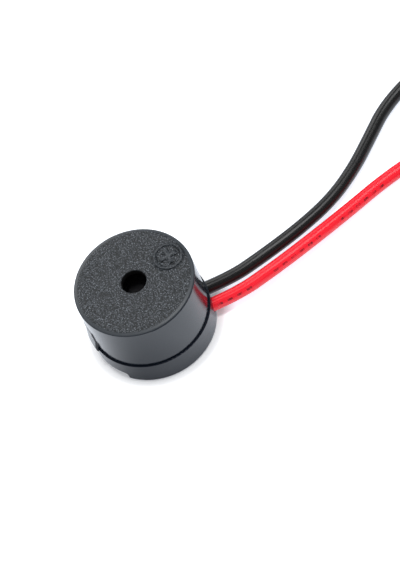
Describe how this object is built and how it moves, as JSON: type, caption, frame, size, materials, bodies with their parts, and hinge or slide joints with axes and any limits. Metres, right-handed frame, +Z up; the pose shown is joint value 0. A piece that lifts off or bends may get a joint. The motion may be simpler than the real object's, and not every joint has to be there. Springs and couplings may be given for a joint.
{
  "type": "piezo buzzer",
  "caption": "Round panel or board buzzer with a top sound hole, a raised polarity mark, a clipped-on base and a red and a black flying lead wound into a loose coil.",
  "frame": {"origin": "on the standing surface, under the centre of the round case", "axes": "+Z up through the sound hole; +X the way the leads leave the base; the clip is on the -X side"},
  "size_m": [0.0573, 0.0304, 0.0086],
  "materials": {
    "case_black": "spark-eroded black, slightly satin",
    "base_black": "moulded black, smooth satin",
    "red_pvc": "glossy red insulation",
    "black_pvc": "glossy black insulation",
    "tinned_wire": "tinned copper",
    "brass_plate": "rolled, dull",
    "piezo_ceramic": "fired, matte",
    "silver_layer": "fired silver, matte",
    "silicone": "soft white",
    "board_green": "solder mask over laminate",
    "solder": "bright solder",
    "moulded_body": "moulded epoxy",
    "ferrite": "sintered, matte",
    "copper_winding": "enamelled copper",
    "resistor_body": "glazed black",
    "capacitor_body": "fired tan"
  },
  "bodies": {
    "root": {"case": "case_black", "base": "base_black", "red_lead": "red_pvc", "red_coil": "red_pvc", "black_lead": "black_pvc", "black_coil": "black_pvc", "red_tip": "tinned_wire", "black_tip": "tinned_wire", "red_core": "tinned_wire", "black_core": "tinned_wire", "diaphragm": "brass_plate", "piezo_disc": "piezo_ceramic", "electrode": "silver_layer", "bond_ring": "silicone", "circuit_board": "board_green", "solder_pads": "solder", "board_solder": "solder", "piezo_solder": "solder", "driver_transistor": "moulded_body", "transistor_legs": "tinned_wire", "inductor_core": "ferrite", "inductor_winding": "copper_winding", "base_resistor": "resistor_body", "load_resistor": "resistor_body", "chip_capacitor": "capacitor_body", "chip_terminals": "solder", "plate_wire": "tinned_wire", "electrode_wire": "tinned_wire"}
  },
  "joints": []
}
